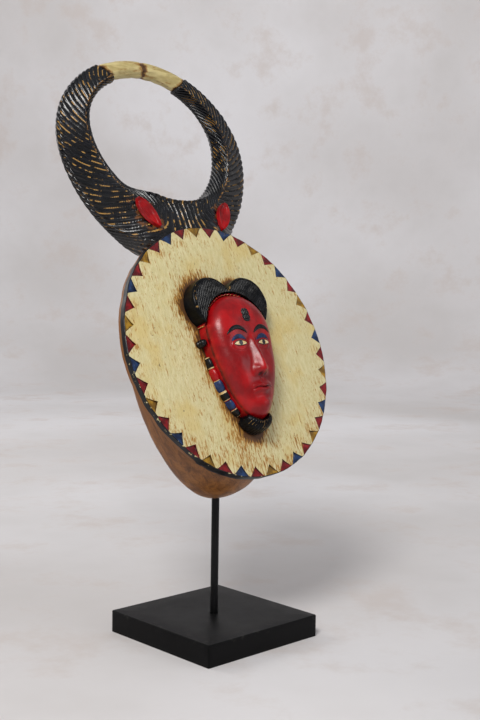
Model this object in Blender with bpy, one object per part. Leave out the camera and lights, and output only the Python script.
"""Painted wooden disc mask with a ring of horns, on a steel rod and a square base.

Metres, +Z up. The origin is the middle of the base's underside, and the mask looks along -Y.
The mask leans back: MASK_FRAME carries it, with local x to the side, y back from the disc's
front face and z up the disc. HORN_FRAME is tilted a little forward again inside it.
"""

import math

import bmesh
import bpy
from mathutils import Vector
from mathutils.bvhtree import BVHTree

GAP = 0.0003                    # between pieces that touch

# Stand
BASE_SIDE = 0.150
BASE_HEIGHT = 0.0225
BASE_EDGE = 0.0006
ROD_RADIUS = 0.004
ROD_TOP = 0.3022
ROD_SHOULDER = 0.0148           # where the rod's threaded foot begins
FOOT_RADIUS = 0.0025
FOOT_BOTTOM = 0.0053
INSERT_BOTTOM = 0.0045
INSERT_TOP = 0.0145
INSERT_SIDES = 24
TIP_CHAMFER = 0.0008

# Mask
MASK_CENTRE = (0.0, -0.022, 0.2966)
MASK_LEAN = math.radians(22.4)
DISC_RADIUS = 0.1324
DISC_THICKNESS = 0.011
NOTCHES = 40
NOTCH_APEX = 0.121              # distance of a notch's point from the disc's centre
NOTCH_HALF_ANGLE = math.radians(4.1)
NOTCH_DEPTH = 0.0024

SHELL = dict(half_width=0.0755, centre=0.0, up=0.1076, down=0.1381, squareness=2.3,
             down_squareness=2.1)
SHELL_SHIFT = -0.010            # the hollow back was carved a little to one side
# Section of the back shell's wall: distance in from the outline, and depth behind the disc's front.
SHELL_WALL = ((0.0200, 0.0113), (0.0117, 0.0166), (0.0050, 0.0264), (0.0011, 0.0387),
              (0.0, 0.0510), (0.0006, 0.0623), (0.0032, 0.0676), (0.0085, 0.0695),
              (0.0125, 0.0680), (0.015, 0.0613), (0.018, 0.0408), (0.027, 0.0213),
              (0.040, 0.0113))
SHELL_STATIONS = 56

SOCKET_HALF_WIDTH = 0.017
SOCKET_LOW = -0.035
SOCKET_HIGH = 0.022
SOCKET_BACK = 0.049
SOCKET_EDGE = 0.004

# Horns, in HORN_FRAME: two egg-shaped outlines, x to the side and z up.
HORN_ORIGIN = (0.0, 0.0378, 0.230)
HORN_TILT = math.radians(5.0)
HORN_OUTER = dict(half_width=0.1245, centre=0.006, up=0.1025, down=0.1290, down_squareness=1.82)
HORN_INNER = dict(half_width=0.0850, centre=0.020, up=0.0670, down=0.078, down_squareness=2.0)
HORN_FRONT = (0.020, 0.0095)    # depth in front of the middle, at the foot and at the tip
HORN_BACK = (0.0120, 0.0095)    # and behind it
FRONT_SLIMS_BY = 0.8            # share of the way to the top where the front depth has slimmed down
FOOT_FLAT = math.radians(-68.0) # below this the front is flat, to lie behind the disc
FOOT_ROUND = math.radians(-42.0)
FOOT_LEAN_BACK = 0.14           # slope of the foot's front above the disc's rim
FRONT_SHARE = -0.10             # points of the section further forward than this lie on the flat
HORN_STATIONS = 30
TIP_STATIONS = 9
HORN_START = math.radians(-90.0)
HORN_TIP = math.radians(61.0)   # where the pale tip begins
TIP_GAP = 0.004                 # angle between the horn's end and the tip
TIP_SHRINK = 0.88               # the tip is a little thinner than the horn's end
HORN_END_GAP = 0.00015          # half the gap at the middle plane
# Points round a horn's section: place from the outer (0) to the inner edge (1), and depth as a
# share of the front (-) or back (+) depth. The fourth point is the front ridge.
HORN_SECTION = ((0.0, -0.12), (0.05, -0.40), (0.40, -0.74), (0.76, -1.0), (0.93, -0.72),
                (1.0, -0.20), (1.0, 0.25), (0.88, 0.75), (0.5, 1.0), (0.12, 0.75), (0.0, 0.25))
TIP_SECTION_SIDES = 12

EAR_FOOT = (0.043, 0.137)       # x and z in MASK_FRAME
EAR_HEAD = (0.060, 0.169)
EAR_HALF_LENGTH = 0.0190
EAR_HALF_WIDTH = 0.0080
EAR_DEPTH = 0.0120              # depth of the ear's rim behind the disc's front
EAR_THICKNESS = 0.0048
EAR_HOLLOW = 0.0020
EAR_TILT = math.radians(-6)
EAR_ROUNDNESS = 0.62            # power of the ear's outline; a half would be an ellipse
SEAT_FRONT = -0.004             # the seat's cutter starts this far in front of the ear

# Head, in MASK_FRAME. The face's outline is an egg, and its features follow the usual thirds.
FACE = dict(half_width=0.039, centre=0.012, up=0.040, down=0.090, down_squareness=1.8)
FACE_EDGE = 0.010               # height of the face's edge above the disc
FACE_HEIGHT = 0.030
FACE_DOME = 4.0                 # higher is flatter in the middle and steeper at the edge
BROW_Z = 0.008
NOSE_Z = -0.034
MOUTH_Z = -0.048
CHIN_Z = -0.066
EYE_X = 0.0156
EYE_Z = -0.003
EYE_HALF_WIDTH = 0.0078
NOSE_RISE = (0.0025, 0.0075)    # height of the nose at the brow, and how much more at its base
NOSE_WIDTH = 0.0035             # at the brow, and the same again at its base
NOSE_ENDS = (0.95, 1.15)        # share of the nose's length where its underside begins and ends
EYE_SOCKET = (0.0030, 0.010, 0.0075)    # depth, half width and half height
LIPS = (0.0022, 0.011, 0.006)           # height, half width and half height
CHIN = (0.0045, 0.011, 0.008)           # the same for the chin
# Strips laid on the face: kind, colour, z of the ends, rise of the middle, start and end across,
# half width, height and stations.
STRIPS = (
    ("brow", "black", BROW_Z - 0.001, 0.0065, EYE_X - 0.0108, EYE_X + 0.0128, 0.0019, 0.0014, 11),
    ("eyelid", "blue", EYE_Z + 0.0034, 0.0042, EYE_X - 0.0082, EYE_X + 0.0090, 0.0018, 0.0012, 9),
    ("eye", "cream", EYE_Z, 0.0008, EYE_X - EYE_HALF_WIDTH, EYE_X + EYE_HALF_WIDTH,
     0.0024, 0.0010, 9),
)
STRIP_END = 0.0004              # half width that a strip keeps at its ends
MARK_MIDDLE = 0.026
MARK_LENGTH = 0.0140
MARK_HALF_WIDTH = 0.0046
MARK_SQUARENESS = 6
MARK_HEIGHT = 0.0010
MARK_STEPS = 15

HAIR_RADIUS = 0.0265
HAIR_CENTRE = (0.0235, 0.0450)
HAIR_HEIGHT = 0.0165
HAIR_EDGE = 0.004
HAIRLINE_WIDTH = 0.0028
HAIRLINE_HEIGHT = 0.0155
BEARD_WIDTH = 0.0052
BEARD_HEIGHT = 0.0080
CHIN_BEARD_WIDTH = 0.0110
CHIN_BEARD_HEIGHT = 0.0200
KNOB_RADIUS = 0.0040
KNOB_HEIGHT = 0.0105
# Section of a band: share of its width out from the face, and share of its height.
BAND_SECTION = ((0.0, 0.0), (0.0, 0.8), (0.25, 1.0), (0.7, 0.9), (1.0, 0.4), (1.0, 0.0))
CUT_FRONT = -0.04               # cutters reach from here, well in front of the disc
CUT_BACK = 0.01                 # to here, just behind its front
CUT_TOP = 0.1

PAINT = {
    "base_black": ((0.012, 0.012, 0.013), 0.55, 0.0),
    "rod_black": ((0.010, 0.010, 0.011), 0.45, 0.6),
    "brass": ((0.60, 0.42, 0.16), 0.35, 1.0),
    "cream": ((0.67, 0.61, 0.36), 0.60, 0.0),
    "wood": ((0.16, 0.062, 0.018), 0.50, 0.0),
    "black": ((0.010, 0.011, 0.013), 0.30, 0.0),
    "horn_tip": ((0.60, 0.52, 0.27), 0.50, 0.0),
    "red": ((0.30, 0.005, 0.008), 0.28, 0.0),
    "blue": ((0.008, 0.028, 0.12), 0.35, 0.0),
}


# ---------------------------------------------------------------- shared tools

def clear_scene():
    for thing in list(bpy.data.objects):
        bpy.data.objects.remove(thing, do_unlink=True)


def paint(name):
    found = bpy.data.materials.get(name)
    if found:
        return found
    colour, roughness, metallic = PAINT[name]
    made = bpy.data.materials.new(name)
    made.use_nodes = True
    shader = made.node_tree.nodes["Principled BSDF"]
    shader.inputs["Base Color"].default_value = (*colour, 1.0)
    shader.inputs["Roughness"].default_value = roughness
    shader.inputs["Metallic"].default_value = metallic
    return made


def frame(name, parent=None, location=(0, 0, 0), tilt=0.0):
    """Empty that carries pieces; tilt turns it about its own x axis."""
    empty = bpy.data.objects.new(name, None)
    bpy.context.collection.objects.link(empty)
    empty.location = location
    empty.rotation_euler = (tilt, 0.0, 0.0)
    empty.parent = parent
    return empty


def piece(name, bm, colour, parent=None, location=(0, 0, 0), rotation=(0, 0, 0)):
    """Object of its own from a bmesh."""
    bmesh.ops.recalc_face_normals(bm, faces=bm.faces)
    mesh = bpy.data.meshes.new(name)
    bm.to_mesh(mesh)
    bm.free()
    mesh.shade_smooth()
    mesh.set_sharp_from_angle(angle=math.radians(35))
    mesh.materials.append(paint(colour))
    thing = bpy.data.objects.new(name, mesh)
    bpy.context.collection.objects.link(thing)
    thing.parent = parent
    thing.location = location
    thing.rotation_euler = rotation
    return thing


def cutter(name, bm, parent=None, location=(0, 0, 0), rotation=(0, 0, 0)):
    """Hidden object that a Boolean takes away."""
    thing = piece(name, bm, "brass", parent, location, rotation)
    thing.hide_render = True
    thing.display_type = "WIRE"
    return thing


def cut(thing, *tools):
    for tool in tools:
        modifier = thing.modifiers.new(tool.name, "BOOLEAN")
        modifier.operation = "DIFFERENCE"
        modifier.solver = "EXACT"
        modifier.object = tool


def box(low, high):
    bm = bmesh.new()
    bmesh.ops.create_cube(bm, size=1.0)
    for vert in bm.verts:
        vert.co = [low[i] if vert.co[i] < 0 else high[i] for i in range(3)]
    return bm


def turned(profile, sides=32, closed=False):
    """Solid turned about z from (radius, z) points; a closed profile makes a ring."""
    rings = []
    for radius, height in profile:
        angles = [2 * math.pi * i / sides for i in range(sides)]
        rings.append([(radius * math.cos(a), radius * math.sin(a), height) for a in angles])
    return lofted(rings, closed)


def lofted(rings, closed=False):
    """Skin over rings of equal length, capped at both ends unless it closes on itself."""
    bm = bmesh.new()
    loops = [[bm.verts.new(point) for point in ring] for ring in rings]
    following = loops[1:] + (loops[:1] if closed else [])
    for ring, after in zip(loops, following):
        for i in range(len(ring)):
            j = (i + 1) % len(ring)
            bm.faces.new((ring[i], ring[j], after[j], after[i]))
    if not closed:
        bm.faces.new(loops[0])
        bm.faces.new(loops[-1])
    return bm


def slab(top, bottom):
    """Closed solid between two grids of points; grid edges may shrink to one point."""
    bm = bmesh.new()
    upper = [[bm.verts.new(point) for point in row] for row in top]
    lower = [[bm.verts.new(point) for point in row] for row in bottom]
    rows, columns = len(top), len(top[0])
    for grid in (upper, lower):
        for i in range(rows - 1):
            for j in range(columns - 1):
                bm.faces.new((grid[i][j], grid[i][j + 1], grid[i + 1][j + 1], grid[i + 1][j]))
    rim = [(0, j) for j in range(columns)] + [(i, columns - 1) for i in range(1, rows)]
    rim += [(rows - 1, j) for j in range(columns - 2, -1, -1)]
    rim += [(i, 0) for i in range(rows - 2, 0, -1)]
    for (i, j), (k, m) in zip(rim, rim[1:] + rim[:1]):
        bm.faces.new((upper[i][j], lower[i][j], lower[k][m], upper[k][m]))
    bmesh.ops.remove_doubles(bm, verts=bm.verts, dist=1e-6)
    return bm


def egg(angle, half_width, centre, up, down, squareness=2.0, down_squareness=None):
    """Point (x, z) of an egg-shaped outline; angle 0 is at the side and pi / 2 at the top."""
    c, s = math.cos(angle), math.sin(angle)
    power = 2.0 / (squareness if s > 0 else down_squareness or squareness)
    x = half_width * math.copysign(abs(c) ** power, c)
    z = centre + (up if s > 0 else down) * math.copysign(abs(s) ** power, s)
    return Vector((x, z))


def egg_normal(angle, shape):
    step = 0.01
    along = egg(angle + step, **shape) - egg(angle - step, **shape)
    return Vector((along.y, -along.x)).normalized()


def beside_egg(angle, shape, distance):
    """Point (x, z) at a distance outside an egg-shaped outline."""
    return egg(angle, **shape) + egg_normal(angle, shape) * distance


def spread(start, end, count):
    return [start + (end - start) * i / (count - 1) for i in range(count)]


def smooth_step(value):
    value = min(max(value, 0.0), 1.0)
    return value * value * (3.0 - 2.0 * value)


# ---------------------------------------------------------------- stand

def build_stand():
    """Board with a blind hole, the threaded insert at its bottom, and the rod screwed into it."""
    half = BASE_SIDE / 2
    board = piece("base_board", box((-half, -half, 0.0), (half, half, BASE_HEIGHT)), "base_black")
    bevel = board.modifiers.new("edges", "BEVEL")
    bevel.width = BASE_EDGE
    bevel.segments = 1
    hole = ((ROD_RADIUS + GAP, INSERT_BOTTOM - GAP), (ROD_RADIUS + GAP, BASE_HEIGHT + 0.001))
    cut(board, cutter("base_hole", turned(hole)))

    bore = FOOT_RADIUS + GAP
    sleeve = ((bore, INSERT_BOTTOM), (ROD_RADIUS, INSERT_BOTTOM),
              (ROD_RADIUS, INSERT_TOP), (bore, INSERT_TOP))
    piece("threaded_insert", turned(sleeve, INSERT_SIDES, True), "brass")

    shaft = ((FOOT_RADIUS - GAP, FOOT_BOTTOM), (FOOT_RADIUS, FOOT_BOTTOM + GAP),
             (FOOT_RADIUS, ROD_SHOULDER), (ROD_RADIUS, ROD_SHOULDER),
             (ROD_RADIUS, ROD_TOP - TIP_CHAMFER), (ROD_RADIUS - TIP_CHAMFER, ROD_TOP))
    piece("rod", turned(shaft), "rod_black")


# ---------------------------------------------------------------- disc and back of the mask

def build_disc(parent):
    """Disc whose front edge has a chip-carved pit in every pitch, deepest below its inner point."""
    bm = bmesh.new()
    pitch = 2 * math.pi / NOTCHES

    def point(radius, angle, depth):
        return bm.verts.new((radius * math.sin(angle), depth, radius * math.cos(angle)))

    front, rim_back = [], []
    for k in range(NOTCHES):
        middle = (k + 0.5) * pitch
        left = point(DISC_RADIUS, middle - NOTCH_HALF_ANGLE, 0.0)
        right = point(DISC_RADIUS, middle + NOTCH_HALF_ANGLE, 0.0)
        apex = point(NOTCH_APEX, middle, 0.0)
        pit = point(NOTCH_APEX + NOTCH_DEPTH / 2, middle, NOTCH_DEPTH)
        bm.faces.new((left, pit, apex))
        bm.faces.new((pit, right, apex))
        bm.faces.new((left, right, pit))
        backs = [point(DISC_RADIUS, middle + turn, DISC_THICKNESS)
                 for turn in (-NOTCH_HALF_ANGLE, NOTCH_HALF_ANGLE)]
        bm.faces.new((left, right, backs[1], backs[0]))
        front += [left, apex, right]
        rim_back += backs
    bm.faces.new(front)
    bm.faces.new(rim_back)
    for k in range(NOTCHES):
        right, next_left = front[3 * k + 2], front[(3 * k + 3) % len(front)]
        back_right, back_left = rim_back[2 * k + 1], rim_back[(2 * k + 2) % len(rim_back)]
        bm.faces.new((right, next_left, back_left, back_right))
    piece("disc", bm, "cream", parent)


def build_shell(parent):
    """Hollow wall behind the disc, scooped out towards its open back."""
    rings = []
    for angle in spread(0.0, 2 * math.pi, SHELL_STATIONS + 1)[:-1]:
        ring = []
        for inset, depth in SHELL_WALL:
            x, z = beside_egg(angle, SHELL, -inset)
            ring.append((x + SHELL_SHIFT, depth, z))
        rings.append(ring)
    piece("back_shell", lofted(rings, True), "wood", parent)


def build_socket(parent):
    """Block behind the face with the blind hole that the rod goes into."""
    low = (-SOCKET_HALF_WIDTH, DISC_THICKNESS + GAP, SOCKET_LOW)
    high = (SOCKET_HALF_WIDTH, SOCKET_BACK, SOCKET_HIGH)
    block = piece("rod_socket", box(low, high), "wood", parent)
    bevel = block.modifiers.new("edges", "BEVEL")
    bevel.width = SOCKET_EDGE
    bevel.segments = 2
    hole = turned(((ROD_RADIUS + GAP, 0.20), (ROD_RADIUS + GAP, ROD_TOP + GAP)))
    cut(block, cutter("socket_hole", hole))


# ---------------------------------------------------------------- horns

def horn_depths(angle):
    """Front and back depth of a horn's section, from the thick foot to the slim end."""
    along = (angle - HORN_START) / (math.pi / 2 - HORN_START)
    front = HORN_FRONT[0] + (HORN_FRONT[1] - HORN_FRONT[0]) * smooth_step(along / FRONT_SLIMS_BY)
    back = HORN_BACK[0] + (HORN_BACK[1] - HORN_BACK[0]) * smooth_step(along)
    return front, back


def foot_plane(z):
    """Depth of the flat front that the horns' foot turns to the disc, in HORN_FRAME."""
    behind_disc = DISC_THICKNESS + GAP - HORN_ORIGIN[1]
    slope_back = FOOT_LEAN_BACK * max(0.0, z + HORN_ORIGIN[2] - DISC_RADIUS)
    return (behind_disc + z * math.sin(HORN_TILT) + slope_back) / math.cos(HORN_TILT)


def horn_ring(angle, side):
    """One section of a horn, between its outer and inner outline."""
    outer, inner = egg(angle, **HORN_OUTER), egg(angle, **HORN_INNER)
    front, back = horn_depths(angle)
    foot = smooth_step((FOOT_ROUND - angle) / (FOOT_ROUND - FOOT_FLAT))
    ring = []
    for place, share in HORN_SECTION:
        x, z = outer.lerp(inner, place)
        depth = share * (front if share < 0 else back)
        if share < FRONT_SHARE:
            depth += (foot_plane(z) - depth) * foot
        ring.append((side * max(x, HORN_END_GAP), depth, z))
    return ring


def tip_ring(angle, side):
    """Round section of a pale tip, inside the outline of the horn."""
    outer, inner = egg(angle, **HORN_OUTER), egg(angle, **HORN_INNER)
    front, back = horn_depths(angle)
    middle = outer.lerp(inner, 0.5)
    half = (outer - inner) * 0.5 * TIP_SHRINK
    ring = []
    for i in range(TIP_SECTION_SIDES):
        turn = 2 * math.pi * i / TIP_SECTION_SIDES
        x, z = middle + half * math.cos(turn)
        depth = (front + back) * 0.5 * TIP_SHRINK * math.sin(turn)
        ring.append((side * max(x, HORN_END_GAP), depth, z))
    return ring


def build_horns(mask_frame):
    horn_frame = frame("HORN_FRAME", mask_frame, HORN_ORIGIN, HORN_TILT)
    for word, side in (("left", -1), ("right", 1)):
        stations = spread(HORN_START, HORN_TIP, HORN_STATIONS)
        horn = piece("horn_" + word, lofted([horn_ring(a, side) for a in stations]),
                     "black", horn_frame)
        stations = spread(HORN_TIP + TIP_GAP, math.pi / 2, TIP_STATIONS)
        piece("horn_tip_" + word, lofted([tip_ring(a, side) for a in stations]),
              "horn_tip", horn_frame)
        cut(horn, build_ear(word, side, mask_frame))


def ear_grid(grow, depth):
    """Grid over a leaf-shaped ear; depth gives how far back each point lies."""
    grid = []
    for across in spread(-1.0, 1.0, 9):
        row = []
        for along in spread(-1.0, 1.0, 13):
            width = (1.0 - along * along) ** EAR_ROUNDNESS
            reach = max(abs(along) ** 4, across * across)
            x = across * (EAR_HALF_WIDTH + grow) * width
            row.append((x, depth(reach), along * (EAR_HALF_LENGTH + grow)))
        grid.append(row)
    return grid


def build_ear(word, side, mask_frame):
    """Red dished ear; returns the cutter that seats it in its horn."""
    foot, head = Vector(EAR_FOOT), Vector(EAR_HEAD)
    middle = (foot + head) / 2
    lean = math.atan2(head.x - foot.x, head.y - foot.y)
    place = (side * middle.x, EAR_DEPTH, middle.y)
    turn = (EAR_TILT, side * lean, 0.0)

    def dished(reach):
        return EAR_HOLLOW * (1.0 - reach)

    bm = slab(ear_grid(0.0, dished), ear_grid(0.0, lambda reach: EAR_THICKNESS))
    piece("ear_" + word, bm, "red", mask_frame, place, turn)
    seat = slab(ear_grid(GAP, lambda reach: SEAT_FRONT),
                ear_grid(GAP, lambda reach: EAR_THICKNESS + GAP))
    return cutter("ear_seat_" + word, seat, mask_frame, place, turn)


# ---------------------------------------------------------------- head

def bump(value, middle, width):
    return math.exp(-((value - middle) / width) ** 2)


def hump(x, z, size):
    """Rounded hump about (0, 0), from its height, half width and half height."""
    return size[0] * bump(x, 0.0, size[1]) * bump(z, 0.0, size[2])


def face_reach(x, z):
    """How far (x, z) lies from the face's middle: 0 there and 1 on its outline."""
    if z > FACE["centre"]:
        return math.hypot(x / FACE["half_width"], (z - FACE["centre"]) / FACE["up"])
    power = FACE["down_squareness"]
    side = (abs(x) / FACE["half_width"]) ** power
    return (side + (abs(z - FACE["centre"]) / FACE["down"]) ** power) ** (1 / power)


def face_height(x, z):
    """Height of the face over the disc."""
    reach = min(face_reach(x, z), 1.0)
    height = FACE_EDGE + (FACE_HEIGHT - FACE_EDGE) * math.sqrt(1.0 - reach ** FACE_DOME)
    along_nose = (BROW_Z - z) / (BROW_Z - NOSE_Z)
    start, end = NOSE_ENDS
    if 0.0 < along_nose < end:
        ridge = NOSE_RISE[0] + NOSE_RISE[1] * smooth_step(along_nose)
        ridge *= 1.0 - smooth_step((along_nose - start) / (end - start))
        height += ridge * bump(x, 0.0, NOSE_WIDTH * (1.0 + along_nose))
    for side in (-1, 1):
        height -= hump(x - side * EYE_X, z - EYE_Z, EYE_SOCKET)
    return height + hump(x, z - MOUTH_Z, LIPS) + hump(x, z - CHIN_Z, CHIN)


def build_face(parent):
    """Carved face; returns a function that gives the depth of its surface at (x, z)."""
    rows, columns = 25, 17
    top, bottom = [], []
    for angle in spread(-math.pi / 2, math.pi / 2, rows):
        edge = egg(angle, **FACE)
        above, below = [], []
        for place in spread(-1.0, 1.0, columns):
            across = math.copysign(abs(place) ** 1.25, place)
            x = across * abs(edge.x)
            above.append((x, -face_height(x, edge.y), edge.y))
            below.append((x, -GAP, edge.y))
        top.append(above)
        bottom.append(below)
    bm = slab(top, bottom)
    surface = BVHTree.FromBMesh(bm)
    piece("face", bm, "red", parent)

    def depth_at(x, z):
        return surface.ray_cast(Vector((x, -0.1, z)), Vector((0, 1, 0)))[0].y

    return depth_at


def strip_on_face(name, depth_at, path, half_width, thickness, colour, parent, steps=9):
    """Raised strip over the face, along path(t) with a half width for each t from 0 to 1."""
    top, bottom = [], []
    for t in spread(0.0, 1.0, steps):
        here = Vector(path(t))
        along = (Vector(path(min(t + 0.01, 1.0))) - Vector(path(max(t - 0.01, 0.0)))).normalized()
        above, below = [], []
        for across in (-1.0, -0.5, 0.0, 0.5, 1.0):
            x, z = here + Vector((-along.y, along.x)) * across * half_width(t)
            skin = depth_at(x, z) - GAP * 1.3
            rise = thickness * (1.0 - 0.6 * across * across)
            above.append((x, skin - rise, z))
            below.append((x, skin, z))
        top.append(above)
        bottom.append(below)
    piece(name, slab(top, bottom), colour, parent)


def build_features(depth_at, parent):
    """Brows, eyelids, eyes and the mark on the forehead, each laid on the face."""
    def arch(side, low, rise, start, end):
        def path(t):
            return (side * (start + (end - start) * t), low + rise * math.sin(math.pi * t) ** 0.8)
        return path

    def leaf(width):
        return lambda t: STRIP_END + width * math.sin(math.pi * t) ** 0.7

    for kind, colour, low, rise, start, end, width, height, steps in STRIPS:
        for word, side in (("left", -1), ("right", 1)):
            strip_on_face(kind + "_" + word, depth_at, arch(side, low, rise, start, end),
                          leaf(width), height, colour, parent, steps)

    def upright(t):
        return (0.0, MARK_MIDDLE + MARK_LENGTH * (t - 0.5))

    def tablet(t):
        return 2 * STRIP_END + MARK_HALF_WIDTH * math.sqrt(1.0 - (2.0 * t - 1.0) ** MARK_SQUARENESS)

    strip_on_face("forehead_mark", depth_at, upright, tablet, MARK_HEIGHT, "black", parent,
                  MARK_STEPS)


def band(name, start, end, width, height, colour, parent, steps=13):
    """Rounded band that follows the outside of the face's outline."""
    rings = []
    for angle in spread(start, end, steps):
        taper = 0.6 + 0.4 * math.sin(math.pi * (angle - start) / (end - start)) ** 0.5
        reach, rise = width * taper, height * taper
        ring = []
        for place, share in BAND_SECTION:
            x, z = beside_egg(angle, FACE, GAP + place * reach)
            ring.append((x, -GAP - share * rise, z))
        rings.append(ring)
    piece(name, lofted(rings), colour, parent)


def build_hair(parent):
    """Two round lobes that meet over the face, trimmed to leave room for the hairline band."""
    for word, side in (("left", -1), ("right", 1)):
        outline = ((HAIR_RADIUS, GAP), (HAIR_RADIUS, HAIR_HEIGHT - HAIR_EDGE),
                   (HAIR_RADIUS - HAIR_EDGE * 0.3, HAIR_HEIGHT - HAIR_EDGE * 0.3),
                   (HAIR_RADIUS - HAIR_EDGE, HAIR_HEIGHT))
        place = (side * HAIR_CENTRE[0], 0.0, HAIR_CENTRE[1])
        lobe = piece("hair_" + word, turned(outline, 36), "black", parent, place,
                     (math.radians(90), 0.0, 0.0))
        far = -side * HAIR_RADIUS * 1.5
        near = side * HORN_END_GAP
        middle = box((min(far, near), CUT_FRONT, 0.0), (max(far, near), CUT_BACK, CUT_TOP))
        rings = [[(x, depth, z) for x, z in
                  (beside_egg(a, FACE, HAIRLINE_WIDTH + 2 * GAP)
                   for a in spread(0.0, 2 * math.pi, 49)[:-1])] for depth in (CUT_FRONT, CUT_BACK)]
        cut(lobe, cutter("hair_middle_" + word, middle, parent),
            cutter("hair_face_" + word, lofted(rings), parent))


def build_trim(parent):
    """Hairline, temple knobs, beard bands and chin beard round the face."""
    turn = math.radians
    band("hairline_band", turn(14), turn(166), HAIRLINE_WIDTH, HAIRLINE_HEIGHT, "red", parent, 27)
    band("chin_beard", turn(-112), turn(-68), CHIN_BEARD_WIDTH, CHIN_BEARD_HEIGHT, "black", parent)
    band("beard_band_right", turn(-64), turn(-15), BEARD_WIDTH, BEARD_HEIGHT, "blue", parent, 17)
    band("beard_band_left", turn(-165), turn(-116), BEARD_WIDTH, BEARD_HEIGHT, "blue", parent, 17)
    profile = [(KNOB_RADIUS, GAP), (KNOB_RADIUS, KNOB_HEIGHT - KNOB_RADIUS)]
    profile += [(KNOB_RADIUS * math.cos(a), KNOB_HEIGHT - KNOB_RADIUS * (1 - math.sin(a)))
                for a in (turn(25), turn(50), turn(75))]
    for word, angle in (("right", turn(-5)), ("left", turn(185))):
        x, z = beside_egg(angle, FACE, KNOB_RADIUS + GAP)
        piece("temple_knob_" + word, turned(profile, 16), "black", parent, (x, 0.0, z),
              (math.radians(90), 0.0, 0.0))


def main():
    clear_scene()
    build_stand()
    mask_frame = frame("MASK_FRAME", None, MASK_CENTRE, -MASK_LEAN)
    build_disc(mask_frame)
    build_shell(mask_frame)
    build_socket(mask_frame)
    build_horns(mask_frame)
    depth_at = build_face(mask_frame)
    build_features(depth_at, mask_frame)
    build_hair(mask_frame)
    build_trim(mask_frame)


main()
